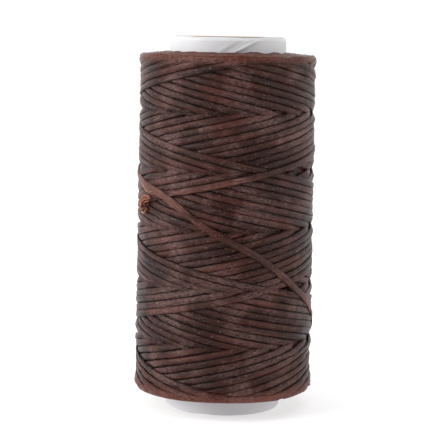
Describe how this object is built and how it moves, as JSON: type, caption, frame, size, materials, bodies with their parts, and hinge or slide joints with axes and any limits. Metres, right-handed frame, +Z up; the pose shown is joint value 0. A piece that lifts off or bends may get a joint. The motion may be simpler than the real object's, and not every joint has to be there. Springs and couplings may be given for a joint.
{
  "type": "waxed thread spool",
  "caption": "Small paper tube cross-wound with flat waxed thread, its cut end tucked under a steep finishing wrap.",
  "frame": {"origin": "middle of the tube's lower rim", "axes": "+Z up the tube's axis, -Y towards the front where the steep finishing wrap crosses"},
  "size_m": [0.0298, 0.0298, 0.06],
  "materials": {
    "kraft_ply": "matt kraft paper",
    "board_ply": "matt grey board",
    "white_liner": "smooth matt white paper",
    "waxed_thread": "dark brown thread with a waxy satin sheen"
  },
  "bodies": {
    "root": {"tube_inner_ply": "kraft_ply", "tube_middle_ply": "board_ply", "tube_outer_ply": "white_liner", "thread_start_tail": "waxed_thread", "thread_layer_1": "waxed_thread", "thread_layer_2": "waxed_thread", "thread_layer_3": "waxed_thread", "thread_layer_4": "waxed_thread", "thread_layer_5": "waxed_thread", "thread_layer_6": "waxed_thread", "thread_layer_7": "waxed_thread", "finishing_wrap": "waxed_thread", "tucked_end": "waxed_thread"}
  },
  "joints": []
}
